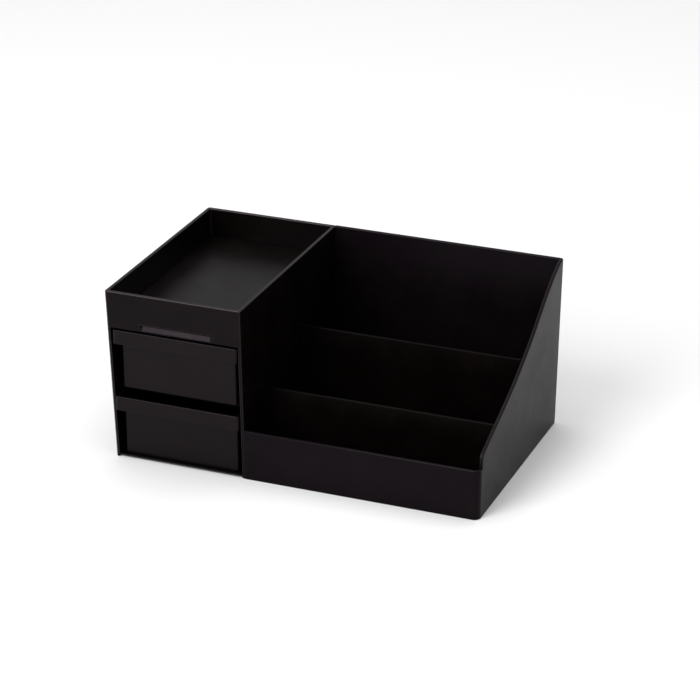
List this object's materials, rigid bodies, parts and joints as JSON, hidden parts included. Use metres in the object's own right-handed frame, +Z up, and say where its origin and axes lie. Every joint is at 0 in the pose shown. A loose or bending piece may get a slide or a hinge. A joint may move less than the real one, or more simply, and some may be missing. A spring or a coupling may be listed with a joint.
{
  "type": "countertop skincare organizer with drawers",
  "caption": "Black moulded countertop organizer: a cabinet with sliding drawers and an open top tray, beside an open bay with a swept side wall and stepped lift-out dividers.",
  "frame": {"origin": "on the surface that the organizer stands on, under the middle of the rim's outline", "axes": "+Z up, +X along the front from the cabinet to the bay, drawers open towards -Y"},
  "size_m": [0.26, 0.1605, 0.12],
  "materials": {
    "case_plastic": "satin black injection-moulded plastic",
    "drawer_plastic": "satin black injection-moulded plastic"
  },
  "bodies": {
    "case": {"cabinet_shell": "case_plastic", "tray_floor": "case_plastic", "drawer_shelf": "case_plastic", "bay_tub": "case_plastic"},
    "upper_drawer": {"upper_drawer": "drawer_plastic"},
    "lower_drawer": {"lower_drawer": "drawer_plastic"},
    "front_divider": {"front_divider": "case_plastic"},
    "rear_divider": {"rear_divider": "case_plastic"}
  },
  "joints": [
    {"name": "upper_drawer_slide", "type": "slide", "parent": "case", "child": "upper_drawer", "axis": [0, -1, 0], "range_m": [0, 0.1]},
    {"name": "lower_drawer_slide", "type": "slide", "parent": "case", "child": "lower_drawer", "axis": [0, -1, 0], "range_m": [0, 0.1]},
    {"name": "front_divider_lift", "type": "slide", "parent": "case", "child": "front_divider", "axis": [0, 0, 1], "range_m": [0, 0.055]},
    {"name": "rear_divider_lift", "type": "slide", "parent": "case", "child": "rear_divider", "axis": [0, 0, 1], "range_m": [0, 0.08]}
  ]
}
